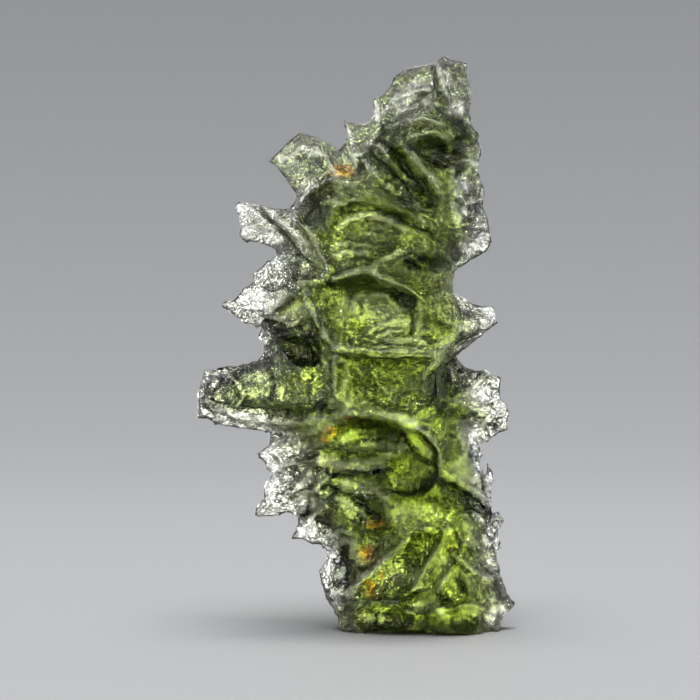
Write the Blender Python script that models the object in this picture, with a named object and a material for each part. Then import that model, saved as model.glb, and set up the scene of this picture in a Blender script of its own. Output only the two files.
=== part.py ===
"""A moldavite: one piece of natural green glass, etched into flakes, spikes and scalloped hollows.

The stone stands on the small flat at its foot. X runs to the right, Y away from the front face
and Z up. Its front outline and the places of its flakes are read off a front view, in columns
and rows of PIXEL size, and depths are in millimetres, less than zero towards the front.
"""

import bmesh
import bpy
import numpy as np
from mathutils import Matrix, Vector, noise
from mathutils.bvhtree import BVHTree

# Driving dimensions, in millimetres. The stone is shaped in millimetres and set to metres last
HEIGHT = 45.0
TOP_ROW = 54.7
FOOT_ROW = 629.0
MIDDLE_COLUMN = 355.9
PIXEL = HEIGHT / (FOOT_ROW - TOP_ROW)
METRES = 0.001
TRIM_DEPTH = 20.0
GRAIN_OF_REMESH = 0.3
MOST_TRIANGLES = 9400

# The front outline, clockwise from the top of the stone
OUTLINE = [
    (445, 54.7), (458, 60), (469, 62), (470, 75), (473, 85), (475, 97), (473, 116), (474, 125),
    (482, 131), (482, 155), (478, 164), (482, 183), (486, 189), (485, 208), (490, 221), (495, 238),
    (493, 250), (487, 258), (470, 265), (461, 267), (454, 273), (453, 290), (466, 298), (480, 303),
    (496, 303), (497, 311), (499, 319), (502, 327), (493, 331), (488, 337), (472, 349), (455, 360),
    (465, 363), (480, 369), (488, 370), (505, 376), (503, 383), (503, 394), (508, 407), (512, 416),
    (508, 420), (508, 425), (512, 431), (508, 435), (498, 440), (489, 445), (484, 447), (486, 455),
    (491, 464), (496, 473), (496, 480), (494, 490), (494, 500), (500, 504), (499, 508), (504, 514),
    (511, 523), (504, 529), (502, 537), (506, 547), (500, 554), (505, 568), (504, 572), (508, 584),
    (510, 593), (515, 604), (511, 611), (504, 615), (502, 623), (497, 640), (338, 640), (335, 615),
    (320, 597), (317, 587), (314, 570), (320, 560), (327, 553), (325, 549), (314, 551), (303, 547),
    (301, 544), (287, 543), (287, 537), (293, 526), (292, 519), (286, 517), (276, 520), (254, 520),
    (250, 514), (250, 509), (260, 499), (262, 493), (259, 489), (264, 478), (265, 471), (261, 464),
    (256, 460), (252, 453), (265, 444), (270, 440), (268, 435), (241, 432), (215, 427), (214, 419),
    (206, 419), (199, 421), (197, 417), (198, 406), (196.6, 394), (198, 382), (201, 371), (205, 366),
    (213, 366), (222, 366), (219, 363), (246, 361), (256, 358), (261, 355), (259, 342), (255, 337),
    (254, 333), (246, 328), (231, 319), (224, 311), (218, 306), (220, 300), (234, 299), (238, 289),
    (248, 284), (250, 272), (260, 266), (266, 259), (278, 260), (280, 255), (261, 247), (241, 243),
    (234, 236), (238, 231), (235, 218), (231, 207), (236, 199), (256, 203), (277, 206), (291, 205),
    (294, 200), (288, 190), (281, 180), (274, 169), (266, 162), (271, 155), (279, 146), (284, 139),
    (300, 129), (309, 132), (318, 134), (336, 144), (343, 153), (345, 149), (343, 141), (339, 118),
    (352, 121), (366, 122), (368, 118), (369, 98), (379, 96), (387, 87), (390, 75), (403, 67),
    (417, 62), (428, 60),
]

# The flakes that are fused into the stone. Each corner is column, row, front depth, back depth
FLAKES = {
    "foot": [
        (338, 650, -2.6, 2.4), (372, 650, -3.8, 3.4), (468, 650, -4.0, 3.4), (500, 650, -2.4, 2.0),
        (516, 602, -0.8, 1.2), (318, 592, -0.6, 1.0), (378, 596, -4.6, 4.4), (452, 598, -5.2, 5.0),
        (352, 535, -3.2, 3.2), (490, 530, -2.4, 3.4), (405, 520, -5.4, 5.6), (455, 520, -5.0, 5.4),
    ],
    "lower_body": [
        (345, 560, -3.0, 3.4), (490, 560, -2.4, 3.6), (328, 500, -1.8, 2.4), (486, 480, -1.4, 2.8),
        (372, 450, -4.6, 5.2), (440, 450, -5.4, 6.0), (402, 545, -5.7, 5.6), (465, 450, -3.4, 4.6),
        (335, 450, -2.6, 3.4), (440, 560, -5.6, 5.2),
    ],
    "middle_body": [
        (330, 470, -3.0, 3.4), (452, 480, -4.6, 5.0), (470, 410, -2.2, 4.0), (452, 350, -3.8, 4.4),
        (322, 345, -3.6, 3.4), (312, 400, -3.6, 3.6), (385, 435, -4.6, 6.4), (390, 355, -4.6, 6.0),
        (345, 410, -4.4, 5.2), (430, 420, -4.6, 5.8),
    ],
    "upper_body": [
        (316, 365, -3.4, 3.2), (457, 358, -3.4, 4.4), (454, 280, -2.6, 3.4), (455, 225, -3.0, 3.4),
        (400, 200, -3.8, 4.8), (345, 188, -2.6, 2.6), (318, 215, -1.4, 0.8), (330, 262, -2.6, 2.0),
        (385, 300, -4.4, 5.8), (345, 340, -4.4, 4.0), (435, 354, -4.4, 4.8),
    ],
    "neck": [
        (345, 208, -3.0, 2.6), (466, 245, -2.2, 3.2), (480, 190, -0.9, 1.6), (477, 140, -0.8, 1.5),
        (442, 132, -3.4, 3.4), (386, 128, -2.4, 2.4), (358, 165, -2.6, 2.2), (418, 205, -4.8, 4.6),
        (400, 165, -4.0, 3.4),
    ],
    "top_lobe": [
        (364, 116, -0.6, 0.8), (367, 97, -0.2, 0.5), (388, 73, -0.2, 0.5), (416, 59, -0.3, 0.5),
        (446, 51, -0.2, 0.5), (472, 60, -0.2, 0.4), (478, 98, -0.3, 0.6), (478, 142, -0.8, 1.4),
        (410, 110, -3.2, 2.4), (440, 140, -4.0, 3.2), (385, 150, -2.8, 2.4), (452, 92, -2.2, 1.8),
        (420, 84, -2.2, 1.6),
    ],
    "round_lobe": [
        (262, 162, 0.9, 1.5), (270, 152, 0.8, 1.4), (284, 136, 0.9, 1.4), (300, 126, 1.0, 1.5),
        (320, 131, 1.0, 1.6), (340, 142, 0.6, 1.6), (348, 156, -0.4, 1.8), (345, 190, -1.6, 2.4),
        (320, 210, -0.8, 2.4), (292, 204, 0.4, 1.8), (279, 182, 0.8, 1.6), (312, 165, -0.2, 2.6),
    ],
    "small_spine": [
        (337, 114, -0.3, 0.3), (352, 118, -0.6, 0.5), (368, 120, -0.8, 0.7), (372, 160, -2.2, 1.4),
        (350, 168, -1.2, 1.2), (344, 150, -0.4, 0.5),
    ],
    "upper_spike": [
        (229, 205, 0.6, 1.1), (237, 196, 0.5, 1.0), (258, 206, -1.1, 1.4), (294, 199, -0.4, 1.8),
        (305, 210, -0.9, 2.0), (330, 280, -1.8, 1.4), (302, 256, -1.9, 1.9), (262, 250, 0.1, 1.4),
        (240, 246, 0.4, 1.0), (232, 237, 0.5, 1.0),
    ],
    "lower_spike": [
        (214, 306, 0.0, 0.5), (219, 297, 0.0, 0.5), (236, 296, -0.2, 0.8), (250, 268, 0.2, 0.9),
        (265, 256, 0.1, 1.0), (282, 253, -0.2, 1.4), (326, 268, -1.6, 2.0), (330, 290, -2.6, 2.4),
        (300, 322, -2.2, 2.4), (262, 320, -1.3, 1.4), (246, 330, -0.4, 0.8), (224, 314, -0.1, 0.5),
    ],
    "shoulder": [
        (298, 206, -1.6, 1.8), (345, 192, -3.0, 2.4), (356, 250, -3.4, 3.0), (316, 250, -2.2, 2.0),
        (326, 214, -2.6, 2.6),
    ],
    "front_flake": [
        (331, 180, -4.2, 0.0), (303, 196, -4.4, -1.4), (293, 223, -4.6, -1.6), (310, 241, -5.0, -1.2),
        (323, 259, -5.3, -1.2), (329, 281, -5.6, -1.0), (402, 288, -6.1, 3.0), (444, 262, -4.6, 2.0),
        (442, 232, -4.4, 2.0), (400, 196, -5.2, 3.0), (362, 180, -4.2, 2.0),
    ],
    "eye_block": [
        (300, 281, -5.0, -0.5), (337, 351, -6.7, 0.0), (437, 356, -6.6, 3.0), (458, 340, -5.0, 3.0),
        (436, 298, -5.0, 3.0), (402, 282, -5.9, 2.0), (369, 270, -6.1, 2.0), (341, 278, -5.9, 1.0),
    ],
    "left_strip": [
        (301, 284, -4.4, 1.0), (262, 316, -2.6, 0.6), (254, 334, -2.0, -0.2), (257, 366, -2.8, 1.0),
        (300, 372, -4.6, 1.6), (338, 372, -5.4, 2.0), (338, 346, -5.8, 2.0), (318, 322, -5.4, 1.6),
    ],
    "lower_cell": [
        (337, 349, -6.7, 2.0), (437, 354, -6.6, 3.0), (444, 400, -5.8, 3.0), (428, 424, -6.4, 3.0),
        (400, 417, -6.8, 3.0), (365, 411, -6.8, 3.0), (334, 410, -5.6, 3.0), (322, 380, -5.2, 2.0),
    ],
    "arm": [
        (192, 394, -3.0, -0.4), (199, 368, -2.6, -0.8), (215, 362, -3.0, -0.2), (258, 356, -3.2, 0.6),
        (330, 352, -4.6, 2.6), (345, 410, -5.4, 3.2), (325, 432, -3.6, 1.6), (268, 438, -2.4, 0.2),
        (213, 430, -2.4, -0.6), (196, 422, -2.2, -1.0), (226, 392, -4.6, 1.2), (290, 394, -5.2, 2.2),
    ],
    "fold": [
        (318, 424, -4.4, 2.0), (345, 410, -5.6, 2.0), (400, 414, -6.8, 3.0), (428, 426, -6.7, 3.0),
        (441, 452, -6.6, 3.0), (440, 474, -6.4, 3.0), (418, 494, -6.2, 3.0), (380, 480, -5.6, 3.0),
        (335, 474, -3.8, 3.0), (316, 448, -3.6, 2.0),
    ],
    "fin_a": [
        (248, 453, 0.2, 0.7), (256, 464, 0.2, 0.8), (266, 474, 0.0, 1.0), (330, 482, -2.6, 2.6),
        (345, 430, -4.4, 3.2), (300, 424, -2.8, 1.6), (266, 438, -0.4, 1.0),
    ],
    "fin_b": [
        (246, 509, -1.0, -0.4), (248, 517, -1.0, -0.4), (276, 523, -1.4, 0.2), (296, 521, -1.8, 0.8),
        (350, 520, -3.6, 2.6), (350, 460, -4.4, 2.6), (300, 458, -2.6, 1.4), (262, 474, -1.0, 0.4),
        (256, 498, -1.2, -0.2),
    ],
    "fin_c": [
        (283, 536, 0.6, 1.1), (285, 546, 0.6, 1.1), (303, 550, 0.2, 1.4), (326, 553, -0.6, 2.0),
        (352, 545, -2.6, 3.0), (352, 480, -3.4, 3.4), (312, 488, -1.2, 2.2), (290, 516, 0.2, 1.4),
    ],
    "fin_d": [
        (310, 570, -0.6, 0.1), (319, 557, -0.8, 0.2), (328, 550, -1.0, 0.8), (362, 520, -3.0, 2.6),
        (380, 600, -4.4, 3.4), (348, 612, -2.6, 1.8), (334, 620, -1.2, 0.6), (316, 598, -0.8, 0.2),
    ],
    "right_column": [
        (440, 128, -2.8, 2.6), (486, 128, 0.2, 0.8), (488, 190, 0.2, 0.9), (499, 238, 0.3, 0.9),
        (494, 254, 0.3, 0.9), (470, 268, -0.6, 1.4), (450, 272, -2.2, 2.4), (440, 200, -3.4, 3.0),
        (468, 200, -2.2, 2.2), (474, 240, -2.2, 2.0),
    ],
    "right_spike": [
        (470, 294, 0.3, 0.9), (499, 300, 0.5, 1.0), (506, 327, 0.5, 1.0), (494, 334, 0.4, 1.0),
        (456, 364, -1.8, 1.9), (425, 350, -4.4, 3.6), (430, 300, -3.6, 3.2), (450, 288, -1.6, 2.2),
    ],
    "right_fin": [
        (452, 356, -1.2, 2.0), (488, 366, 0.9, 1.6), (509, 374, 1.2, 1.7), (510, 405, 1.1, 1.7),
        (516, 416, 1.2, 1.7), (514, 434, 1.1, 1.7), (490, 449, 0.4, 1.9), (448, 446, -3.0, 3.4),
        (436, 385, -4.0, 3.8), (476, 410, -1.4, 2.6),
    ],
    "flank_a": [
        (484, 442, -0.4, 0.6), (500, 473, -0.6, 0.0), (500, 485, -0.6, 0.0), (498, 502, -0.8, 0.4),
        (450, 510, -4.4, 3.6), (445, 440, -4.6, 3.6),
    ],
    "flank_b": [
        (495, 497, 0.4, 1.0), (506, 509, 0.5, 1.1), (515, 523, 0.5, 1.1), (509, 547, 0.4, 1.2),
        (500, 557, 0.2, 1.4), (455, 565, -4.4, 4.0), (450, 495, -4.6, 3.8),
    ],
    "flank_c": [
        (498, 550, -0.9, 0.4), (512, 584, -0.9, -0.1), (519, 604, -0.9, -0.2), (508, 618, -1.4, 0.4),
        (500, 650, -2.4, 1.6), (460, 650, -4.2, 3.8), (450, 560, -4.8, 3.8),
    ],
    "back_fin_top": [
        (395, 150, 1.0, 2.0), (448, 128, 1.0, 2.4), (455, 215, 1.0, 3.4), (408, 228, 1.0, 4.4),
        (425, 165, 1.0, 5.2), (438, 205, 1.0, 6.2),
    ],
    "back_fin_upper": [
        (330, 250, 1.0, 2.2), (360, 232, 1.0, 4.6), (405, 262, 1.0, 7.2), (395, 300, 1.0, 7.4),
        (450, 290, 1.0, 4.0), (370, 330, 1.0, 4.6),
    ],
    "back_fin_middle": [
        (330, 360, 1.0, 3.4), (362, 352, 1.0, 7.0), (388, 372, 1.0, 7.6), (420, 420, 1.0, 7.4),
        (455, 400, 1.0, 4.4), (345, 420, 1.0, 4.4),
    ],
    "back_fin_lower": [
        (350, 470, 1.0, 4.2), (400, 462, 1.0, 7.2), (430, 500, 1.0, 7.6), (440, 548, 1.0, 7.0),
        (480, 520, 1.0, 4.0), (365, 540, 1.0, 4.4),
    ],
}

# The basins sunk between the stone's ridges: how deep in millimetres, and the rim's corners
FRONT_BASINS = {
    "eye_cell": (1.9, [
        (308, 290), (342, 346), (388, 350), (430, 350), (446, 334), (426, 304), (370, 280), (340, 286),
    ]),
    "lower_cell": (1.7, [
        (342, 355), (432, 359), (438, 388), (420, 412), (372, 406), (344, 402), (336, 380),
    ]),
    "dark_pit": (2.0, [(280, 340), (292, 336), (306, 342), (318, 348), (322, 360), (308, 364), (290, 358)]),
    "dark_pit_floor": (2.6, [(292, 346), (306, 346), (316, 354), (308, 361), (296, 357)]),
    "strip_above_pit": (1.4, [(298, 292), (306, 310), (326, 342), (314, 340), (280, 334), (266, 322)]),
    "pocket_beside_eye": (1.8, [(384, 292), (402, 291), (418, 306), (408, 313), (392, 306)]),
    "upper_cell": (1.7, [
        (334, 214), (372, 206), (418, 222), (436, 250), (400, 272), (372, 262), (338, 272), (326, 248),
    ]),
    "chevron_corner": (1.3, [(378, 266), (402, 254), (438, 262), (440, 290), (424, 298), (404, 284)]),
    "under_lobe": (1.6, [(412, 150), (436, 142), (462, 150), (462, 164), (440, 172), (414, 166)]),
    "slope_groove_a": (1.1, [(382, 150), (392, 148), (436, 196), (440, 212), (428, 212), (388, 168)]),
    "slope_groove_b": (1.0, [(364, 160), (374, 158), (412, 198), (408, 208), (396, 204), (364, 172)]),
    "lobe_left": (1.0, [
        (378, 104), (396, 80), (424, 66), (430, 84), (430, 108), (412, 126), (384, 128),
    ]),
    "lobe_right": (1.0, [(437, 66), (462, 66), (470, 92), (468, 120), (448, 128), (437, 108)]),
    "column_a": (1.0, [(458, 138), (476, 138), (478, 156), (462, 160), (452, 150)]),
    "column_b": (0.9, [(450, 174), (474, 168), (480, 184), (468, 202), (450, 196)]),
    "column_c": (0.9, [(456, 206), (480, 196), (486, 214), (476, 228), (456, 224)]),
    "column_d": (1.0, [(462, 232), (486, 228), (490, 246), (474, 258), (458, 252)]),
    "arm_end": (0.8, [(214, 384), (226, 374), (240, 382), (242, 398), (230, 408), (216, 402)]),
    "arm_a": (0.7, [(248, 376), (276, 368), (302, 376), (313, 394), (296, 404), (262, 398)]),
    "arm_ledge": (0.7, [(222, 414), (300, 410), (330, 414), (318, 422), (252, 424)]),
    "fold_hollow": (2.3, [
        (327, 433), (346, 420), (376, 417), (396, 425), (408, 438), (392, 448), (362, 449), (338, 444),
    ]),
    "fold_groove": (1.6, [
        (398, 422), (412, 424), (430, 440), (437, 456), (434, 470), (424, 466), (412, 448), (402, 436),
    ]),
    "second_hollow": (1.5, [(312, 452), (344, 452), (380, 452), (392, 460), (366, 470), (330, 468)]),
    "tongue": (1.6, [(392, 455), (410, 449), (426, 464), (432, 478), (414, 490), (392, 486), (382, 470)]),
    "third_hollow": (1.4, [(326, 474), (356, 474), (382, 470), (392, 484), (374, 496), (340, 488)]),
    "streak": (1.3, [
        (318, 484), (334, 486), (358, 494), (382, 508), (382, 522), (364, 524), (340, 510), (322, 498),
    ]),
    "fin_gap_a": (1.0, [(266, 444), (304, 428), (324, 438), (304, 456), (270, 460)]),
    "fin_gap_b": (1.0, [(266, 474), (302, 462), (326, 466), (314, 486), (270, 492)]),
    "fin_gap_c": (1.0, [(282, 510), (300, 490), (324, 488), (320, 508), (296, 521)]),
    "fin_gap_d": (1.0, [(298, 530), (314, 512), (334, 508), (336, 536), (314, 546)]),
    "foot_face_left": (1.2, [
        (324, 560), (340, 542), (354, 548), (358, 572), (350, 594), (336, 606), (324, 588),
    ]),
    "wedge": (2.0, [(438, 368), (456, 362), (474, 376), (468, 398), (448, 402), (436, 388)]),
    "fin_face_a": (1.0, [(460, 376), (496, 380), (502, 400), (478, 412), (460, 404)]),
    "fin_face_b": (1.0, [(448, 412), (474, 410), (488, 428), (482, 446), (460, 448), (446, 432)]),
    "almond": (0.7, [(466, 450), (482, 448), (494, 464), (494, 480), (478, 474), (466, 460)]),
    "flank_face_a": (0.9, [(442, 456), (466, 462), (484, 480), (484, 492), (458, 486), (440, 472)]),
    "flank_groove": (1.7, [
        (434, 474), (450, 482), (478, 498), (504, 512), (510, 524), (496, 526), (466, 512), (436, 492),
    ]),
    "flank_face_b": (1.2, [(452, 512), (474, 518), (500, 530), (500, 546), (478, 548), (456, 534)]),
    "flank_face_c": (1.3, [(452, 540), (474, 548), (498, 558), (502, 572), (488, 580), (462, 560)]),
    "flank_face_d": (1.4, [
        (448, 560), (466, 566), (492, 584), (506, 600), (488, 604), (464, 596), (448, 580),
    ]),
    "mottled_face": (1.0, [
        (384, 496), (412, 492), (436, 494), (448, 510), (436, 524), (410, 524), (390, 516),
    ]),
    "valley_a": (1.7, [
        (404, 534), (420, 520), (442, 526), (430, 546), (412, 566), (404, 586), (386, 594), (372, 584),
        (376, 566), (392, 550),
    ]),
    "valley_b": (1.4, [(450, 522), (458, 534), (444, 558), (430, 586), (418, 588), (424, 562), (438, 538)]),
    "valley_c": (1.4, [
        (374, 524), (398, 514), (404, 530), (388, 548), (368, 566), (352, 576), (350, 556), (358, 540),
    ]),
    "valley_d": (1.1, [(352, 588), (366, 572), (378, 568), (378, 588), (364, 602), (352, 604)]),
    "hole_a": (2.6, [(440, 578), (452, 572), (466, 580), (466, 594), (450, 600), (436, 594)]),
    "hole_b": (2.0, [(396, 592), (416, 588), (438, 590), (440, 600), (420, 604), (398, 602)]),
    "foot_hollow_a": (1.5, [(350, 610), (372, 600), (400, 602), (412, 614), (398, 628), (358, 628)]),
    "foot_hollow_b": (1.2, [(446, 604), (466, 598), (480, 606), (472, 624), (448, 624)]),
    "foot_hollow_c": (1.1, [(480, 604), (500, 604), (506, 616), (496, 630), (478, 628)]),
}

# Basins of the back, given in the same way
BACK_BASINS = {
    "back_lobe": (0.9, [(386, 96), (414, 72), (442, 76), (440, 116), (408, 130), (384, 122)]),
    "back_lobe_edge": (0.8, [(448, 78), (466, 80), (470, 116), (454, 126)]),
    "back_neck": (1.2, [(372, 150), (400, 138), (412, 166), (400, 200), (372, 196)]),
    "back_column": (1.1, [(456, 142), (474, 146), (478, 200), (462, 222), (452, 190)]),
    "back_round_lobe": (0.6, [(284, 154), (312, 142), (334, 156), (330, 184), (300, 192), (284, 176)]),
    "back_upper_gap": (1.7, [(352, 196), (404, 206), (412, 236), (384, 246), (352, 226)]),
    "back_upper_slope": (1.5, [(412, 270), (440, 250), (456, 262), (452, 282), (424, 296), (408, 292)]),
    "back_left_slope": (1.2, [(316, 256), (350, 246), (372, 270), (362, 306), (326, 302)]),
    "back_middle_gap": (2.0, [(356, 320), (402, 306), (442, 308), (440, 336), (396, 350), (360, 344)]),
    "back_right_bowl": (1.5, [(412, 352), (452, 350), (460, 384), (436, 400), (410, 388)]),
    "back_arm_root": (1.2, [(306, 368), (344, 352), (358, 380), (344, 410), (310, 408)]),
    "back_arm": (0.8, [(236, 384), (270, 376), (292, 388), (286, 412), (244, 412)]),
    "back_gap": (1.9, [(346, 434), (392, 436), (428, 446), (420, 462), (378, 460), (344, 454)]),
    "back_right_slope": (1.4, [(444, 416), (478, 410), (484, 440), (466, 474), (440, 456)]),
    "back_fins_a": (0.9, [(286, 446), (322, 440), (330, 466), (300, 474)]),
    "back_fins_b": (0.9, [(286, 486), (326, 478), (336, 508), (304, 516)]),
    "back_lower_left": (1.4, [(340, 486), (386, 488), (400, 520), (376, 536), (344, 522)]),
    "back_low_bowl": (1.5, [(364, 548), (420, 542), (426, 584), (396, 600), (364, 588)]),
    "back_low_right": (1.4, [(444, 552), (484, 534), (494, 572), (470, 592), (444, 586)]),
    "back_flank": (1.2, [(450, 476), (484, 482), (490, 518), (462, 520), (446, 500)]),
    "back_foot": (1.3, [(330, 566), (352, 560), (358, 604), (338, 608)]),
}

# How far a basin's rings spread from its middle and how deep they lie, as shares of its rim and depth
BASIN_RINGS = [(1.25, -0.9), (1.0, 0.0), (0.82, 0.5), (0.6, 0.85), (0.3, 1.0)]

# The cups that the etching left all over: size across and depth in millimetres, and how much
# longer each is along X, Y and Z
CUPS = [
    (4.6, 0.68, (1.0, 1.0, 0.8)),
    (2.3, 0.34, (1.0, 1.0, 0.9)),
]
MOST_CUP_SHARE = 0.22
EDGE_CUP_SHARE = 0.3
CUP_REACH = 0.75

# How the stone thins towards its outline: the share of its thickness that is left at the edge and
# at the edge of the foot, and in millimetres how far in it starts to thin, how high the foot is
# and the thinnest that the glass gets by it
EDGE_THICKNESS = 0.35
FOOT_THICKNESS = 0.75
EDGE_WIDTH = 3.0
FOOT_HEIGHT = 4.0
LEAST_GLASS = 0.5

# How far a tooth of the outline is drawn out at most, and how far round its tip the glass follows
MOST_DRAWN = 0.6
TOOTH_REACH = 0.7

# How far inside the surface a probe starts, in millimetres
PROBE_START = 0.1


def clear_scene():
    for obj in list(bpy.data.objects):
        bpy.data.objects.remove(obj, do_unlink=True)


def at(column, row, depth):
    """The point of the stone at a column and a row of the front view, at a depth in millimetres."""
    return Vector(((column - MIDDLE_COLUMN) * PIXEL, depth, (FOOT_ROW - row) * PIXEL))


def object_of(name, bm):
    """An object that holds the mesh built in bm."""
    mesh = bpy.data.meshes.new(name)
    bm.to_mesh(mesh)
    bm.free()
    obj = bpy.data.objects.new(name, mesh)
    bpy.context.scene.collection.objects.link(obj)
    return obj


def add_hull(bm, points):
    """Adds the convex shape around the points to bm."""
    verts = [bm.verts.new(point) for point in points]
    hull = bmesh.ops.convex_hull(bm, input=verts)
    loose = {v for v in hull["geom_interior"] + hull["geom_unused"] if isinstance(v, bmesh.types.BMVert)}
    bmesh.ops.delete(bm, geom=list(loose), context="VERTS")


def helper(name, bm, group):
    """An object that only serves a Boolean, left out of renders."""
    bmesh.ops.recalc_face_normals(bm, faces=bm.faces)
    obj = object_of(name, bm)
    obj.hide_render = True
    obj.display_type = "WIRE"
    bpy.context.scene.collection.objects.unlink(obj)
    group.objects.link(obj)
    return obj


def helper_group(name):
    group = bpy.data.collections.new(name)
    bpy.context.scene.collection.children.link(group)
    return group


def flake(corners):
    """A convex flake of glass around its corners."""
    bm = bmesh.new()
    points = [at(column, row, front) for column, row, front, back in corners]
    points += [at(column, row, back) for column, row, front, back in corners]
    add_hull(bm, points)
    return bm


def basin(surface, rim, depth, inwards):
    """A rounded cutter that sinks a basin within a rim drawn on the stone's face."""
    start = -TRIM_DEPTH * inwards
    corners = []
    for column, row in rim:
        found = surface.ray_cast(at(column, row, start), Vector((0.0, inwards, 0.0)))[0]
        if found:
            corners.append(found)
    middle = sum(corners, Vector()) / len(corners)
    points = []
    for spread, sink in BASIN_RINGS:
        drop = Vector((0.0, sink * depth * inwards, 0.0))
        points += [middle + (corner - middle) * spread + drop for corner in corners]
    bm = bmesh.new()
    add_hull(bm, points)
    return bm


def outline_block():
    """A block with the stone's front outline, which trims the flakes to it."""
    bm = bmesh.new()
    front = [bm.verts.new(at(column, row, -TRIM_DEPTH)) for column, row in OUTLINE]
    face = bm.faces.new(front)
    made = bmesh.ops.extrude_face_region(bm, geom=[face])
    moved = [v for v in made["geom"] if isinstance(v, bmesh.types.BMVert)]
    bmesh.ops.translate(bm, vec=(0.0, 2.0 * TRIM_DEPTH, 0.0), verts=moved)
    return bm


def add_boolean(obj, operation, group):
    """Joins, trims or cuts with every shape of a group. The exact solver leaves slits here."""
    cut = obj.modifiers.new(operation.lower(), "BOOLEAN")
    cut.solver = "MANIFOLD"
    cut.operation = operation
    cut.operand_type = "COLLECTION"
    cut.collection = group


def settle(obj):
    """Makes the object's mesh what its modifiers show, and takes them off."""
    graph = bpy.context.evaluated_depsgraph_get()
    obj.data = bpy.data.meshes.new_from_object(obj.evaluated_get(graph))
    obj.modifiers.clear()


def keep_largest(obj):
    """Drops the specks and sealed bubbles that the fusing may leave inside the stone."""
    bm = bmesh.new()
    bm.from_mesh(obj.data)
    left = set(bm.verts)
    bodies = []
    while left:
        body = set()
        edge_of_body = [left.pop()]
        while edge_of_body:
            vert = edge_of_body.pop()
            body.add(vert)
            for edge in vert.link_edges:
                other = edge.other_vert(vert)
                if other in left:
                    left.remove(other)
                    edge_of_body.append(other)
        bodies.append(body)
    bodies.sort(key=len)
    for body in bodies[:-1]:
        bmesh.ops.delete(bm, geom=list(body), context="VERTS")
    bm.to_mesh(obj.data)
    bm.free()


def surface_of(obj):
    bm = bmesh.new()
    bm.from_mesh(obj.data)
    tree = BVHTree.FromBMesh(bm)
    bm.free()
    return tree


def thin_edges(obj):
    """Thins the stone towards its outline, so that its sides end in fins, but not at its foot."""
    bm = bmesh.new()
    bm.from_mesh(obj.data)
    bm.normal_update()
    stone = BVHTree.FromBMesh(bm)
    block = outline_block()
    outline = BVHTree.FromBMesh(block)
    block.free()
    moves = []
    for vert in bm.verts:
        inside = vert.co - vert.normal * PROBE_START
        before = Vector((inside.x, -TRIM_DEPTH, inside.z))
        behind = Vector((inside.x, TRIM_DEPTH, inside.z))
        front = stone.ray_cast(before, Vector((0.0, 1.0, 0.0)))[0]
        back = stone.ray_cast(behind, Vector((0.0, -1.0, 0.0)))[0]
        if front is None or back is None:
            moves.append(0.0)
            continue
        middle = (front.y + back.y) / 2.0
        from_edge = outline.find_nearest(Vector((vert.co.x, 0.0, vert.co.z)))[3]
        inwards = min(1.0, from_edge / EDGE_WIDTH)
        foot = max(0.0, 1.0 - vert.co.z / FOOT_HEIGHT)
        edge = EDGE_THICKNESS + (FOOT_THICKNESS - EDGE_THICKNESS) * foot
        kept = edge + (1.0 - edge) * inwards
        least = min(1.0, LEAST_GLASS / max(back.y - front.y, LEAST_GLASS))
        moves.append((middle - vert.co.y) * (1.0 - max(kept, least)))
    for vert, move in zip(bm.verts, moves):
        vert.co.y += move
    bm.to_mesh(obj.data)
    bm.free()


def sharpen_teeth(obj):
    """Draws the stone's edge out to every corner of its front outline, which the remesh has rounded."""
    spots = np.array([vert.co for vert in obj.data.vertices])
    for column, row in OUTLINE:
        corner = at(column, row, 0.0)
        away = np.hypot(spots[:, 0] - corner.x, spots[:, 2] - corner.z)
        nearest = spots[np.argmin(away)]
        gap = np.array([corner.x - nearest[0], 0.0, corner.z - nearest[2]])
        if np.linalg.norm(gap) > MOST_DRAWN:
            continue
        reach = np.hypot(spots[:, 0] - nearest[0], spots[:, 2] - nearest[2])
        share = np.clip(1.0 - reach / TOOTH_REACH, 0.0, 1.0)
        spots += gap * share[:, None]
    obj.data.vertices.foreach_set("co", spots.ravel())


def etch_cups(obj):
    """Sinks shallow cups with sharp rims all over, less deep where the glass is thin."""
    bm = bmesh.new()
    bm.from_mesh(obj.data)
    bm.normal_update()
    tree = BVHTree.FromBMesh(bm)
    moves = []
    for vert in bm.verts:
        way = -vert.normal
        hit = tree.ray_cast(vert.co + way * PROBE_START, way)[3]
        room = MOST_CUP_SHARE * (hit if hit else 0.0)
        facing = EDGE_CUP_SHARE + (1.0 - EDGE_CUP_SHARE) * abs(vert.normal.y)
        sink = 0.0
        for size, depth, stretch in CUPS:
            spot = Vector([c / (size * s) for c, s in zip(vert.co, stretch)])
            near = noise.voronoi(spot + Vector((size, size, size)))[0][0]
            sink += depth * max(0.0, 1.0 - (near / CUP_REACH) ** 2)
        moves.append(way * min(sink * facing, room))
    for vert, move in zip(bm.verts, moves):
        vert.co += move
    bm.to_mesh(obj.data)
    bm.free()


def cut_flat(obj):
    """Cuts the stone off at the flat that it stands on."""
    bm = bmesh.new()
    bm.from_mesh(obj.data)
    everything = bm.verts[:] + bm.edges[:] + bm.faces[:]
    made = bmesh.ops.bisect_plane(
        bm, geom=everything, plane_co=(0.0, 0.0, 0.0), plane_no=(0.0, 0.0, -1.0), clear_outer=True
    )
    rim = [edge for edge in made["geom_cut"] if isinstance(edge, bmesh.types.BMEdge)]
    bmesh.ops.holes_fill(bm, edges=rim, sides=0)
    bmesh.ops.recalc_face_normals(bm, faces=bm.faces)
    bm.to_mesh(obj.data)
    bm.free()


def centre_over_foot(obj):
    """Puts the middle of the stone's outline, seen from above, over the origin."""
    spots = [vert.co for vert in obj.data.vertices]
    middle_x = (min(spot.x for spot in spots) + max(spot.x for spot in spots)) / 2.0
    middle_y = (min(spot.y for spot in spots) + max(spot.y for spot in spots)) / 2.0
    obj.data.transform(Matrix.Translation((-middle_x, -middle_y, 0.0)))


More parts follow.
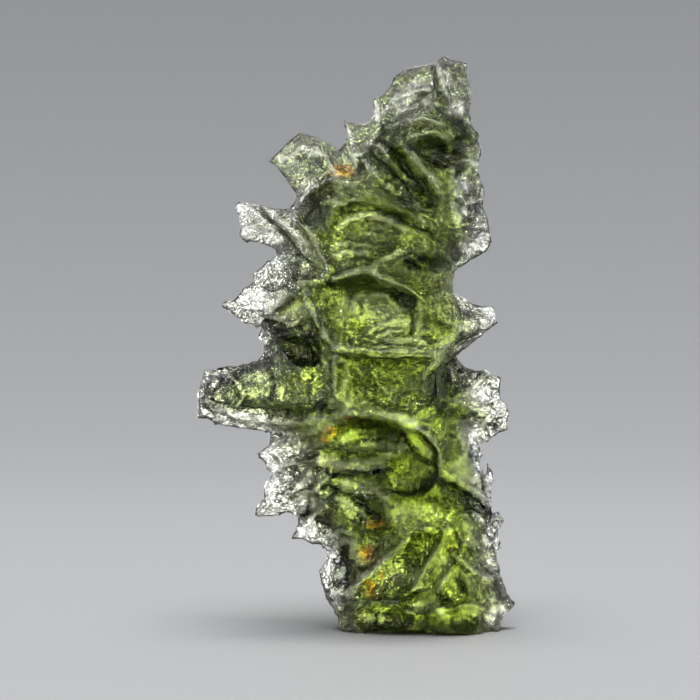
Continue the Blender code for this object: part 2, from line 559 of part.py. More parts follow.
def glass():
    """Bottle-green natural glass."""
    material = bpy.data.materials.new("moldavite_glass")
    material.use_nodes = True
    shader = material.node_tree.nodes["Principled BSDF"]
    shader.inputs["Base Color"].default_value = (0.20, 0.28, 0.04, 1.0)
    shader.inputs["Roughness"].default_value = 0.25
    shader.inputs["Metallic"].default_value = 0.0
    shader.inputs["IOR"].default_value = 1.49
    shader.inputs["Transmission Weight"].default_value = 1.0
    return material


def build():
    clear_scene()
    stone = object_of("moldavite", flake(FLAKES["foot"]))
    joined = helper_group("joined_flakes")
    for name, corners in FLAKES.items():
        if name != "foot":
            helper(name, flake(corners), joined)
    trim = helper_group("trim")
    helper("outline_block", outline_block(), trim)
    add_boolean(stone, "UNION", joined)
    add_boolean(stone, "INTERSECT", trim)
    settle(stone)
    surface = surface_of(stone)
    basins = helper_group("basins")
    for name, (depth, rim) in FRONT_BASINS.items():
        helper(name, basin(surface, rim, depth, 1.0), basins)
    for name, (depth, rim) in BACK_BASINS.items():
        helper(name, basin(surface, rim, depth, -1.0), basins)
    add_boolean(stone, "DIFFERENCE", basins)
    remesh = stone.modifiers.new("even_out", "REMESH")
    remesh.mode = "VOXEL"
    remesh.voxel_size = GRAIN_OF_REMESH
    settle(stone)
    keep_largest(stone)
    thin_edges(stone)
    sharpen_teeth(stone)
    etch_cups(stone)
    thin_out = stone.modifiers.new("thin_out", "DECIMATE")
    thin_out.ratio = MOST_TRIANGLES / (2 * len(stone.data.polygons))
    settle(stone)
    cut_flat(stone)
    keep_largest(stone)
    centre_over_foot(stone)
    stone.data.transform(Matrix.Scale(METRES, 4))
    stone.data.materials.clear()
    stone.data.materials.append(glass())


build()
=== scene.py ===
"""The looks of a moldavite: green natural glass, etched into ridges, scallops and thin silvery fins.

The solid of the stone is copied, remeshed finely and etched on its own surface. The glass
absorbs light by depth, so that thin fins stay clear and the body is olive green.
"""

import math

import bmesh
import bpy
import numpy as np
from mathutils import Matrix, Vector, noise
from mathutils.bvhtree import BVHTree


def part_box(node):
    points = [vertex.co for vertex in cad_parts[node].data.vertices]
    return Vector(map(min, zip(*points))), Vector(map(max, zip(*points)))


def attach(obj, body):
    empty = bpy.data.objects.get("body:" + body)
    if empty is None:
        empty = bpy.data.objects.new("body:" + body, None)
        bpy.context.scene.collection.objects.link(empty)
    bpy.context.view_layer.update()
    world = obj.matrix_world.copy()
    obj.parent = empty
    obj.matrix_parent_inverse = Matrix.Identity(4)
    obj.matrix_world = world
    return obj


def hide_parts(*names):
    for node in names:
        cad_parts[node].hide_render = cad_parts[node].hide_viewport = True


# The etching is worked out in millimetres, and the mesh goes back to metres at the end
MILLIMETRES = 1000.0

# The front view that the lines are read from: the stone's outermost columns, its top and its foot
LEFT_COLUMN = 196.6
RIGHT_COLUMN = 515.0
TOP_ROW = 54.7
FOOT_ROW = 629.0

# The fine mesh, in millimetres, and the bends of the solid that stay sharp in it
GRAIN = 0.165
SMOOTHING_STEPS = 1
MOST_TRIANGLES = 194000
RIDGE_FROM = math.radians(25)
RIDGE_FULL = math.radians(50)

# The etching takes at most this share of the glass under it, and no glass counts as thicker
MOST_OF_THICKNESS = 0.24
THICKEST = 12.0
PROBE_START = 0.02
FAR_OUT = 20.0

# Scallops all over: their spacing and depth in millimetres
SCALLOPS = (
    (2.1, 0.16),
    (0.95, 0.10),
    (0.45, 0.06),
)

# Wrinkles all over: their spacing and height in millimetres
WRINKLES = (
    (1.3, 0.16),
    (0.55, 0.10),
)

# Blender's noise vectors take their offsets from a seed, which is the clock unless it is set
NOISE_SEED = 5

# How far the front's lines and patches stray from the way they are drawn, in columns
STRAY = 2.6
STRAY_SPACING = 1.1

# How strong the painted highlight on the crests of the front's ridges is, and how dark the
# painted shade in its grooves
CREST_PAINTED_HIGHLIGHT = 0.7
GROOVE_PAINTED_SHADE = 0.7

# How fast the front's lines gain height as the surface turns to the front, and the share of their
# height from which it takes the front's painted shade, painted highlights and spots too
FRONT_GAIN = 2.5
FACING_FRONT = 0.2

# The glass: its index of refraction, how clear it is, and the light that it takes in by depth
GLASS_IOR = 1.49
CLEARNESS = 0.91
GLASS_COLOUR = (0.598, 0.64, 0.26, 1)
GLASS_DENSITY = 400.0

# The satin skin of worn crests and thin fins
SATIN_ROUGHNESS = 0.36
SATIN_IOR = 1.9

# The grain: how fine its clouds, threads and hairs are, and how deep the last two are in metres
CLOUD_SCALE = 620.0
THREAD_SCALE = 1500.0
HAIR_SCALE = 3600.0
THREAD_DEPTH = 0.0003
HAIR_DEPTH = 0.00018

# The depth from front to back, in millimetres, at which the glass is a body, a fin and a bare edge
BODY_DEPTH = 5.5
FIN_DEPTH = 1.4
RIM_DEPTH = 0.8
BARE_DEPTH = 0.3

# The height in metres over which the fins turn from silvery to greenish
SILVER_BELOW = 0.033
GREEN_ABOVE = 0.036

# The skin's colours, in the thick body and in the thin fins
BODY_SKIN = (0.66, 0.75, 0.29, 1)
SILVER_SKIN = (0.52, 0.54, 0.48, 1)
GREEN_SKIN = (0.42, 0.48, 0.23, 1)
BODY_HOLLOW = (0.010, 0.014, 0.004, 1)
FIN_HOLLOW = (0.02, 0.02, 0.02, 1)
# The colours of the painted highlights, in the thick body and in the thin fins
BODY_PAINTED_HIGHLIGHT = (0.97, 1.0, 0.78, 1)
FIN_PAINTED_HIGHLIGHT = (1.0, 1.0, 1.0, 1)
# The colour of the painted shade
PAINTED_SHADE_COLOUR = (0.003, 0.004, 0.001, 1)
# The colours of the mineral stains
AMBER_STAIN = (0.90, 0.42, 0.02, 1)
BROWN_STAIN = (0.10, 0.025, 0.004, 1)

# The floor's flat part, the bend that it sweeps up in and the wall above it, in metres
FLOOR_RADIUS = 0.2
FLOOR_BEND = 0.8
FLOOR_WALL = 0.2

# Where the camera and the light overhead aim, how far off the camera is, and its lens
STONE_MIDDLE = 0.022
CAMERA_AIM = (-0.00046, 0, 0.0218)
CAMERA_DISTANCE = 0.1522
LENS_MM = 100

# Soft lights that are for the glass alone: place, the height they aim at and size in metres, how
# wide they spread in degrees, and power in watts
STONE_LIGHTS = (
    ("behind", (0.09, 0.20, 0.11), STONE_MIDDLE, (0.10, 0.10), 60, 0.022),
    ("behind_high", (-0.04, 0.10, 0.23), STONE_MIDDLE, (0.10, 0.10), 60, 0.018),
    ("behind_low", (-0.03, 0.18, 0.012), 0.006, (0.06, 0.03), 20, 0.019),
    ("behind_left", (-0.20, 0.14, 0.07), STONE_MIDDLE, (0.06, 0.10), 60, 0.016),
    ("side_left", (-0.22, -0.05, 0.07), STONE_MIDDLE, (0.05, 0.14), 60, 0.010),
    ("side_right", (0.22, -0.02, 0.07), STONE_MIDDLE, (0.05, 0.14), 60, 0.014),
    ("front_right", (0.16, -0.20, 0.12), STONE_MIDDLE, (0.05, 0.05), 60, 0.060),
    ("front_left", (-0.14, -0.20, 0.10), STONE_MIDDLE, (0.05, 0.05), 60, 0.052),
)

# Ridges and grooves of the front: height in millimetres, less than zero for a groove, half width in
# columns, and the line they follow
LINES = {
    "junction_up_left": (0.34, 5.0, [(302, 284), (311, 313), (324, 334), (338, 350)]),
    "junction_right_upper": (0.26, 3.0, [
        (338, 349), (360, 350), (388, 350), (412, 351), (436, 352),
    ]),
    "junction_right_lower": (0.24, 3.0, [
        (340, 353), (366, 355), (396, 356), (418, 357), (434, 357),
    ]),
    "junction_fork_up": (0.28, 4.0, [(434, 355), (444, 347), (457, 339)]),
    "junction_fork_down": (0.30, 4.0, [(443, 354), (434, 364), (422, 376)]),
    "junction_down": (0.30, 4.0, [(338, 350), (334, 358), (334, 370), (333, 386), (337, 398)]),
    "pit_rim": (0.22, 3.0, [(289, 325), (304, 338), (318, 352), (326, 364), (327, 376)]),
    "chevron_left": (0.34, 5.0, [(336, 282), (348, 277), (360, 272), (369, 272)]),
    "chevron_right": (0.36, 5.0, [(369, 273), (380, 282), (394, 288), (408, 294), (419, 301)]),
    "chevron_rise": (0.26, 4.0, [(369, 270), (380, 262), (398, 250)]),
    "corner_line": (0.20, 2.5, [(406, 255), (414, 262), (422, 271)]),
    "flake_edge": (0.30, 4.0, [
        (352, 188), (331, 182), (318, 194), (303, 198), (302, 208), (295, 222), (308, 232), (316, 246),
        (322, 259), (327, 278), (312, 283), (301, 285),
    ]),
    "eye_ring": (0.26, 3.5, [
        (356, 312), (354, 302), (360, 296), (366, 299), (365, 310), (360, 320), (356, 312),
    ]),
    "eye_arc_a": (0.24, 3.5, [(372, 296), (384, 298), (392, 306), (398, 314)]),
    "eye_arc_b": (0.22, 3.5, [(370, 330), (380, 322), (392, 320), (402, 322)]),
    "eye_arc_c": (0.20, 3.0, [(376, 336), (388, 330), (398, 330)]),
    "eye_rib_a": (0.22, 2.5, [(407, 318), (406, 326), (405, 334)]),
    "eye_rib_b": (0.24, 3.0, [(416, 304), (418, 316), (416, 328), (413, 336)]),
    "eye_rib_c": (-0.20, 2.5, [(411, 316), (411, 326), (409, 335)]),
    "eye_line_a": (0.16, 2.0, [(384, 338), (400, 339), (424, 341)]),
    "eye_line_b": (0.16, 2.0, [(372, 345), (396, 345), (430, 346)]),
    "spike_root_line": (0.24, 3.0, [(436, 344), (450, 338), (460, 330), (462, 326), (452, 327)]),
    "cell_rib_a": (0.26, 3.5, [(346, 366), (348, 376), (345, 388), (341, 396)]),
    "cell_rib_b": (0.18, 3.0, [(342, 362), (356, 366), (362, 374)]),
    "cell_rib_c": (0.16, 3.0, [(372, 370), (376, 382), (384, 392), (392, 388)]),
    "cell_foot": (0.22, 4.0, [(336, 394), (350, 402), (374, 406), (400, 412), (414, 418)]),
    "fold_crest": (0.36, 4.5, [
        (318, 424), (334, 415), (352, 412), (374, 414), (398, 417), (414, 424), (426, 434), (434, 446),
        (437, 458), (441, 470),
    ]),
    "fold_finger_left": (0.26, 3.0, [(400, 422), (408, 430), (414, 440), (420, 450), (428, 453)]),
    "fold_finger_groove": (-0.34, 3.5, [
        (398, 430), (406, 436), (414, 448), (424, 458), (434, 458),
    ]),
    "fold_outer_groove": (-0.34, 3.5, [(414, 427), (424, 436), (431, 444), (433, 458), (434, 470)]),
    "hollow_rim": (0.30, 4.5, [(334, 458), (346, 462), (362, 462), (378, 458), (388, 450)]),
    "hollow_wrinkle_a": (0.18, 3.0, [(344, 438), (356, 430), (372, 432)]),
    "hollow_wrinkle_b": (0.16, 3.0, [(350, 446), (366, 440), (384, 442)]),
    "under_rim_groove": (-0.30, 3.5, [(318, 468), (338, 473), (360, 472), (380, 466), (392, 468)]),
    "tongue_crest": (0.30, 4.0, [(390, 444), (404, 442), (418, 452), (430, 462)]),
    "tongue_groove": (-0.30, 3.5, [(392, 486), (404, 491), (418, 489), (428, 480), (434, 472)]),
    "third_crest": (0.26, 4.0, [(340, 494), (344, 480), (356, 476), (370, 482), (386, 492)]),
    "third_arc": (0.20, 3.0, [(356, 492), (362, 487), (374, 488), (386, 494)]),
    "streak_crest": (0.30, 4.0, [(336, 494), (348, 500), (358, 507), (368, 514)]),
    "streak_groove": (-0.30, 3.5, [(322, 487), (340, 490), (352, 498), (366, 506), (376, 514)]),
    "fin_ridge_a": (0.26, 4.0, [(258, 458), (270, 450), (282, 443), (300, 436), (316, 430)]),
    "fin_ridge_b": (0.26, 4.0, [(268, 470), (286, 464), (304, 460), (322, 458)]),
    "fin_ridge_c": (0.30, 4.0, [(292, 504), (304, 496), (316, 486), (322, 480)]),
    "fin_ridge_d": (0.26, 4.0, [(262, 500), (276, 496), (290, 490), (300, 482), (306, 474)]),
    "fin_ridge_e": (0.26, 3.5, [(296, 532), (306, 522), (314, 512), (326, 504)]),
    "fin_ridge_f": (0.24, 3.5, [(318, 540), (330, 536), (342, 530), (350, 532)]),
    "foot_edge_left": (0.30, 4.0, [(328, 560), (334, 548), (344, 540), (352, 540), (352, 556)]),
    "foot_edge_low": (0.24, 3.0, [(329, 562), (331, 580), (334, 592), (340, 604)]),
    "long_ridge": (0.38, 5.0, [
        (346, 592), (358, 580), (370, 567), (384, 556), (396, 546), (406, 534),
    ]),
    "finger_ridge_a": (0.34, 5.0, [(412, 584), (418, 568), (428, 554), (438, 540), (448, 526)]),
    "finger_ridge_b": (0.32, 4.5, [(437, 584), (440, 570), (436, 556), (432, 548)]),
    "finger_ridge_c": (0.30, 3.5, [(452, 584), (446, 566), (440, 552), (440, 545)]),
    "finger_ridge_d": (0.30, 4.0, [(452, 550), (464, 560), (478, 570), (492, 578)]),
    "foot_lobe": (0.34, 5.0, [(408, 606), (418, 594), (428, 590), (436, 600), (442, 612)]),
    "foot_ridge_right": (0.26, 4.0, [(458, 604), (470, 600), (482, 606), (490, 616)]),
    "fin_face_line_a": (0.28, 2.5, [
        (452, 419), (462, 418), (472, 420), (474, 427), (484, 423), (497, 417),
    ]),
    "fin_face_line_b": (0.22, 3.0, [(484, 424), (483, 434), (490, 444)]),
    "fin_face_line_c": (0.24, 3.0, [(453, 404), (462, 394), (474, 386), (486, 380)]),
    "fin_face_line_d": (0.22, 3.0, [(462, 412), (474, 408), (488, 410), (496, 416)]),
    "patch_edge": (0.26, 3.0, [(448, 436), (460, 440), (464, 450), (458, 462), (450, 470)]),
    "almond_edge": (0.26, 3.0, [(466, 454), (474, 450), (486, 454)]),
    "almond_edge_low": (0.24, 3.0, [(465, 456), (472, 464), (484, 472), (496, 478)]),
    "flank_crest": (0.30, 4.0, [(444, 470), (460, 480), (478, 492), (498, 502)]),
    "flank_dip": (-0.28, 4.0, [(434, 476), (452, 486), (474, 502), (500, 516)]),
    "flank_line_a": (0.24, 3.0, [(462, 508), (466, 524), (476, 540), (488, 552)]),
    "flank_line_b": (0.22, 3.0, [(474, 512), (486, 524), (494, 540)]),
    "flank_line_c": (0.22, 3.0, [(456, 522), (462, 536), (476, 552), (492, 560)]),
    "column_edge": (0.30, 4.0, [(452, 132), (450, 160), (452, 190), (456, 220), (462, 246)]),
    "column_line_a": (0.24, 3.0, [(454, 164), (466, 160), (478, 164)]),
    "column_line_b": (0.24, 3.0, [(456, 198), (468, 204), (482, 200)]),
    "column_line_c": (0.24, 3.0, [(460, 228), (472, 226), (486, 226)]),
    "lobe_crease": (-0.34, 3.5, [(431, 58), (434, 70), (437, 84), (440, 96)]),
    "lobe_crease_rim": (0.26, 3.0, [(440, 66), (442, 80), (446, 94), (452, 104), (462, 108)]),
    "lobe_fan_a": (0.16, 2.5, [(376, 118), (392, 102), (410, 92), (432, 88)]),
    "lobe_fan_b": (-0.18, 2.5, [(414, 97), (426, 92), (436, 90)]),
    "lobe_fan_c": (0.16, 2.5, [(382, 122), (400, 110), (420, 104), (440, 108)]),
    "lobe_fan_d": (-0.16, 2.5, [(383, 121), (390, 118), (396, 110)]),
    "lobe_fan_e": (0.16, 2.5, [(384, 128), (404, 122), (424, 122), (446, 128)]),
    "lobe_rim": (-0.20, 3.0, [(390, 78), (404, 72), (418, 64)]),
    "dark_hollow_rim": (0.26, 3.5, [(408, 142), (424, 138), (440, 138), (448, 146)]),
    "slope_band_a": (0.34, 3.5, [(404, 154), (412, 164), (422, 176), (434, 190), (442, 200)]),
    "slope_band_b": (0.26, 3.0, [(412, 156), (422, 168), (432, 180), (440, 188)]),
    "slope_line_a": (-0.26, 3.0, [(378, 140), (392, 154), (408, 172), (424, 190), (432, 202)]),
    "slope_line_b": (0.22, 2.5, [(372, 142), (386, 158), (400, 172), (414, 186)]),
    "slope_line_c": (-0.20, 2.5, [(366, 150), (380, 166), (394, 180), (408, 192)]),
    "slope_line_d": (0.20, 2.5, [(362, 160), (376, 176), (390, 190)]),
    "slope_line_e": (-0.22, 3.0, [(380, 186), (394, 182), (410, 186), (424, 194)]),
    "flake_arc_a": (0.22, 3.5, [(340, 232), (350, 222), (364, 218), (384, 222), (404, 232)]),
    "flake_arc_b": (-0.18, 3.0, [(376, 214), (396, 222), (418, 234), (430, 240)]),
    "flake_arc_c": (0.18, 3.0, [(350, 206), (372, 206), (396, 214), (420, 226)]),
    "flake_arc_d": (0.18, 3.0, [(322, 206), (334, 204), (346, 208)]),
    "flake_streak_a": (0.16, 2.5, [(334, 250), (350, 244), (366, 246)]),
    "flake_streak_b": (0.16, 2.5, [(336, 258), (352, 252), (366, 254)]),
    "upper_spike_crease": (-0.34, 3.5, [
        (256, 207), (270, 220), (284, 236), (298, 252), (306, 262),
    ]),
    "upper_spike_crest": (0.28, 4.0, [(262, 206), (278, 218), (294, 232), (310, 248), (320, 266)]),
    "lower_spike_line_a": (0.26, 3.0, [(248, 291), (266, 292), (284, 292), (300, 297)]),
    "lower_spike_line_b": (-0.20, 3.0, [(270, 262), (272, 276), (268, 286)]),
    "lower_spike_line_c": (0.24, 3.0, [(262, 318), (276, 318), (288, 324), (301, 318), (311, 315)]),
    "lower_spike_line_d": (-0.22, 3.0, [(236, 304), (248, 310), (260, 314)]),
    "round_lobe_rim": (0.26, 3.5, [
        (284, 160), (298, 148), (314, 146), (326, 154), (332, 168), (338, 182),
    ]),
    "round_lobe_arc": (-0.18, 3.0, [(296, 158), (308, 154), (320, 160), (326, 172)]),
    "spine_edge": (0.24, 2.5, [(345, 124), (350, 136), (352, 150), (354, 162)]),
    "arm_cap_edge": (-0.34, 3.5, [(223, 368), (221, 382), (211, 392), (209, 406), (216, 420)]),
    "arm_face_edge": (0.26, 3.5, [(228, 374), (238, 384), (243, 394), (238, 405)]),
    "arm_face_groove": (-0.20, 3.0, [(233, 374), (244, 384), (248, 396), (243, 408)]),
    "arm_ledge_edge": (0.36, 4.5, [
        (212, 407), (228, 412), (244, 418), (268, 420), (293, 421), (312, 419), (330, 416), (350, 413),
    ]),
    "arm_ledge_groove": (-0.24, 4.0, [(216, 400), (236, 409), (262, 413), (288, 413), (312, 411)]),
    "arm_valley": (-0.20, 4.0, [(268, 368), (274, 382), (272, 398)]),
    "notch_beside_arm": (-0.36, 5.0, [(314, 400), (318, 408), (324, 404)]),
}

# Painted shade and painted highlights on the front: how pale, from -1 for painted shade that is
# nearly black to 1 for a silvery white painted highlight, how soft its edge is in columns, and its
# corners
PAINTED_LIGHT_AND_SHADE = {
    "pit": (-1.0, 5, [
        (274, 336), (286, 328), (302, 326), (318, 338), (322, 356), (312, 368), (294, 366),
        (280, 354),
    ]),
    "pocket": (-1.0, 3, [(386, 293), (400, 294), (414, 302), (412, 310), (404, 313), (396, 306)]),
    "fin_root_wedge": (-0.8, 6, [
        (424, 376), (440, 360), (456, 362), (452, 384), (446, 400), (454, 418), (436, 418),
        (428, 400),
    ]),
    "fin_top": (-0.7, 4, [
        (452, 360), (466, 364), (488, 372), (504, 378), (498, 380), (476, 380), (458, 376),
    ]),
    "flake_shade": (-0.6, 5, [
        (300, 200), (328, 184), (340, 196), (328, 212), (316, 236), (308, 232), (297, 222),
    ]),
    "under_lobe": (-0.7, 5, [
        (402, 144), (420, 146), (440, 142), (446, 152), (440, 164), (424, 168), (406, 160),
    ]),
    "right_of_slope": (-0.7, 5, [
        (440, 150), (452, 140), (468, 150), (462, 166), (446, 170), (434, 166),
    ]),
    "neck_shade": (-0.6, 5, [
        (396, 196), (420, 196), (440, 206), (438, 222), (420, 216), (400, 206),
    ]),
    "upper_cell_shade": (-0.5, 5, [
        (352, 234), (380, 232), (402, 242), (396, 252), (368, 246), (350, 246),
    ]),
    "chevron_corner": (-0.8, 4, [
        (402, 252), (410, 250), (424, 262), (424, 272), (412, 272), (404, 262),
    ]),
    "chevron_side": (-0.45, 5, [
        (380, 268), (404, 258), (430, 276), (444, 290), (424, 300), (400, 286),
    ]),
    "eye_left": (-0.45, 6, [
        (306, 288), (336, 284), (340, 296), (334, 318), (340, 342), (322, 326),
    ]),
    "eye_top": (-0.4, 5, [(342, 286), (366, 278), (388, 290), (370, 294), (346, 294)]),
    "eye_glow": (0.25, 6, [(332, 300), (350, 296), (354, 316), (346, 330), (334, 318)]),
    "eye_pale": (0.35, 5, [(368, 300), (386, 300), (402, 316), (402, 330), (384, 334), (368, 326)]),
    "below_junction": (-0.4, 6, [
        (346, 358), (430, 360), (434, 380), (428, 404), (396, 400), (352, 388),
    ]),
    "cell_pale": (0.35, 5, [
        (330, 392), (346, 392), (372, 400), (366, 410), (338, 410), (326, 402),
    ]),
    "notch": (-0.8, 3, [(312, 399), (324, 399), (322, 411), (312, 411)]),
    "arm_top": (-0.6, 4, [(222, 364), (258, 360), (262, 368), (240, 374), (228, 372)]),
    "arm_face": (-0.35, 4, [
        (212, 392), (222, 378), (234, 376), (242, 392), (238, 404), (214, 406),
    ]),
    "arm_valley": (-0.35, 5, [(266, 370), (276, 372), (278, 400), (268, 402)]),
    "arm_ledge": (0.45, 5, [
        (214, 409), (250, 418), (300, 422), (346, 414), (330, 428), (296, 436), (240, 430),
    ]),
    "hollow_shade": (-0.7, 5, [
        (350, 416), (370, 414), (388, 426), (402, 430), (398, 440), (376, 440), (354, 430),
    ]),
    "hollow_low": (-0.4, 5, [
        (332, 446), (350, 448), (380, 448), (370, 456), (344, 456), (330, 452),
    ]),
    "hollow_rim": (0.45, 4, [
        (326, 458), (346, 460), (378, 456), (386, 462), (366, 468), (336, 468),
    ]),
    "under_rim": (-0.6, 4, [
        (316, 466), (338, 472), (376, 468), (392, 466), (388, 474), (360, 477), (330, 476),
    ]),
    "fold_outer": (-0.8, 3, [
        (412, 424), (424, 432), (434, 446), (436, 470), (430, 470), (428, 450), (416, 434),
    ]),
    "fold_inner": (-0.6, 3, [
        (398, 428), (406, 434), (416, 448), (430, 456), (428, 460), (412, 454), (402, 442),
    ]),
    "fold_finger": (0.4, 4, [
        (402, 418), (414, 426), (428, 444), (428, 454), (418, 450), (408, 436),
    ]),
    "fold_crest": (0.4, 4, [
        (356, 410), (400, 414), (426, 428), (438, 446), (440, 462), (434, 446), (420, 430),
        (396, 420),
    ]),
    "tongue": (0.3, 5, [(396, 446), (412, 450), (428, 464), (420, 474), (404, 466), (394, 456)]),
    "tongue_shade": (-0.75, 4, [
        (392, 484), (410, 482), (430, 468), (434, 476), (422, 490), (404, 494),
    ]),
    "third_pale": (0.35, 4, [(342, 478), (354, 476), (364, 484), (356, 492), (344, 492)]),
    "streak_shade": (-0.6, 4, [
        (320, 486), (340, 488), (360, 500), (376, 514), (366, 520), (346, 506), (328, 496),
    ]),
    "streak_pale": (0.45, 3, [
        (334, 492), (346, 496), (368, 510), (366, 516), (350, 508), (336, 498),
    ]),
    "flank_dark_patch": (-0.55, 5, [
        (440, 434), (456, 432), (464, 446), (456, 462), (446, 466), (438, 450),
    ]),
    "flank_shade": (-0.75, 5, [
        (434, 472), (450, 480), (476, 496), (500, 512), (508, 522), (490, 520), (458, 502),
        (436, 488),
    ]),
    "almond": (-0.8, 3, [(466, 452), (478, 449), (488, 456), (496, 472), (484, 470), (470, 460)]),
    "grey_facet": (-0.45, 4, [(484, 424), (500, 420), (506, 432), (494, 442), (486, 440)]),
    "white_facet_a": (0.9, 4, [
        (454, 400), (470, 386), (486, 384), (488, 400), (484, 410), (466, 406),
    ]),
    "white_facet_b": (0.9, 4, [
        (460, 430), (474, 428), (482, 428), (490, 446), (470, 452), (460, 442),
    ]),
    "white_facet_c": (0.9, 4, [
        (448, 462), (462, 454), (484, 474), (488, 482), (466, 484), (450, 474),
    ]),
    "white_facet_d": (0.5, 4, [(454, 420), (472, 421), (474, 428), (462, 428)]),
    "band_under_white": (-0.6, 3, [(450, 408), (464, 408), (474, 412), (470, 418), (452, 416)]),
    "flank_pale_a": (0.4, 5, [(464, 512), (476, 516), (484, 534), (478, 548), (468, 536)]),
    "flank_pale_b": (0.5, 4, [(484, 528), (494, 534), (494, 552), (484, 550)]),
    "flank_dark_a": (-0.4, 5, [(452, 512), (460, 520), (468, 544), (460, 548), (450, 528)]),
    "hole_a": (-1.0, 3, [(452, 578), (464, 576), (468, 588), (458, 592)]),
    "hole_b": (-1.0, 3, [(434, 588), (448, 588), (452, 596), (440, 598)]),
    "under_fingers": (-0.8, 4, [(374, 590), (396, 588), (416, 590), (410, 598), (380, 600)]),
    "finger_a": (0.45, 4, [(408, 574), (416, 566), (424, 570), (422, 584), (412, 586)]),
    "finger_b": (0.4, 4, [(434, 568), (442, 566), (444, 580), (436, 584)]),
    "finger_band": (0.3, 4, [
        (418, 562), (436, 538), (446, 526), (452, 532), (434, 556), (424, 568),
    ]),
    "ridge_c_pale": (0.5, 3, [(440, 548), (448, 552), (454, 578), (448, 576)]),
    "ridge_d_pale": (0.55, 3, [(458, 552), (480, 566), (488, 577), (472, 572)]),
    "foot_lobe_pale": (0.4, 4, [(410, 604), (420, 592), (432, 590), (442, 606), (430, 612)]),
    "foot_pale_right": (0.7, 4, [(458, 598), (472, 596), (484, 604), (480, 614), (464, 610)]),
    "foot_tip_right": (0.9, 4, [(490, 606), (504, 604), (508, 612), (500, 628), (490, 622)]),
    "foot_shadow": (-0.6, 6, [
        (346, 612), (372, 604), (408, 612), (440, 616), (470, 622), (470, 640), (340, 640),
    ]),
    "foot_face": (-0.75, 4, [
        (330, 562), (340, 544), (352, 542), (353, 560), (344, 584), (332, 590),
    ]),
    "foot_edge_pale": (0.8, 3, [(314, 560), (326, 554), (330, 566), (328, 586), (318, 584)]),
    "foot_streak_pale": (0.8, 3, [(330, 590), (338, 588), (340, 606), (332, 612)]),
    "long_ridge_pale": (0.55, 4, [(344, 584), (362, 568), (370, 570), (360, 584), (348, 594)]),
    "fin_c_dark": (-0.7, 4, [(316, 518), (324, 512), (330, 520), (326, 538), (316, 538)]),
    "fin_c_white": (0.9, 4, [(296, 530), (304, 518), (316, 514), (316, 534), (300, 538)]),
    "fin_b_dark": (-0.5, 4, [(276, 470), (286, 472), (284, 480), (276, 480)]),
    "fin_b_dark_low": (-0.55, 4, [(294, 506), (306, 504), (308, 512), (298, 514)]),
    "fin_b_white": (0.8, 4, [(258, 486), (264, 474), (276, 470), (276, 484), (266, 494)]),
    "fin_ridge_white": (0.7, 4, [(294, 498), (306, 488), (320, 482), (318, 490), (302, 504)]),
    "fin_lens_white": (0.7, 4, [(310, 500), (320, 496), (330, 500), (324, 508), (312, 508)]),
    "fin_a_white": (0.8, 4, [(254, 452), (266, 442), (282, 440), (280, 450), (264, 458)]),
    "upper_spike_white": (0.9, 4, [
        (234, 206), (254, 208), (270, 222), (288, 242), (272, 246), (240, 236),
    ]),
    "upper_spike_crease": (-0.8, 2, [
        (255, 206), (260, 206), (300, 250), (306, 262), (298, 256), (276, 232),
    ]),
    "lower_spike_white": (0.8, 4, [
        (236, 298), (250, 292), (298, 298), (304, 312), (288, 322), (268, 316), (244, 306),
    ]),
    "lower_spike_grey": (-0.45, 5, [(288, 262), (298, 264), (300, 284), (286, 284), (276, 276)]),
    "spike_triangle": (-0.7, 3, [(260, 317), (272, 315), (288, 326), (276, 332), (262, 330)]),
    "round_lobe_dark": (-0.45, 5, [(306, 158), (318, 156), (324, 166), (318, 178), (304, 170)]),
    "round_lobe_rim": (-0.4, 4, [
        (284, 142), (300, 134), (322, 140), (336, 152), (342, 172), (332, 168), (322, 152),
        (300, 144),
    ]),
    "round_lobe_pale": (0.5, 4, [(300, 180), (312, 176), (320, 184), (314, 196), (302, 200)]),
    "round_lobe_white": (0.6, 4, [(304, 150), (314, 144), (322, 152), (310, 156)]),
    "column_white_a": (0.9, 5, [(452, 182), (462, 176), (470, 184), (466, 196), (454, 196)]),
    "column_white_b": (0.7, 5, [(456, 204), (468, 206), (470, 216), (458, 218)]),
    "column_white_c": (0.8, 5, [(458, 236), (474, 226), (484, 236), (476, 250), (462, 250)]),
    "column_dark": (-0.4, 5, [(474, 176), (482, 190), (484, 214), (476, 216), (474, 196)]),
    "lobe_dark_right": (-0.4, 5, [(448, 88), (462, 84), (470, 92), (468, 104), (452, 102)]),
    "lobe_white_a": (0.7, 4, [(440, 70), (450, 68), (452, 80), (444, 86)]),
    "lobe_white_b": (0.7, 4, [(446, 108), (460, 104), (466, 108), (456, 114), (448, 114)]),
    "lobe_glow": (0.3, 8, [(392, 96), (412, 82), (430, 80), (434, 104), (420, 124), (396, 126)]),
    "slope_glow": (0.4, 4, [(404, 156), (412, 156), (440, 186), (438, 194), (428, 188)]),
    "slope_dark": (-0.5, 4, [
        (380, 142), (394, 148), (424, 190), (430, 204), (414, 192), (392, 166),
    ]),
    "fold_glow": (0.25, 6, [(330, 446), (350, 438), (384, 446), (388, 454), (350, 456)]),
    "fin_a_glow": (0.3, 6, [(282, 436), (316, 430), (326, 440), (310, 452), (284, 452)]),
    "mid_fins_glow": (0.3, 6, [(300, 462), (330, 458), (334, 470), (316, 482), (300, 476)]),
    "low_glow_a": (0.3, 8, [
        (388, 500), (420, 496), (440, 506), (432, 528), (400, 530), (386, 518),
    ]),
    "low_glow_b": (0.3, 8, [(366, 556), (392, 540), (402, 552), (392, 572), (370, 580)]),
    "low_glow_c": (0.3, 6, [(446, 560), (462, 566), (476, 584), (462, 578), (450, 572)]),
    "column_green_dark": (-0.5, 5, [(444, 122), (462, 118), (472, 132), (464, 146), (448, 140)]),
}

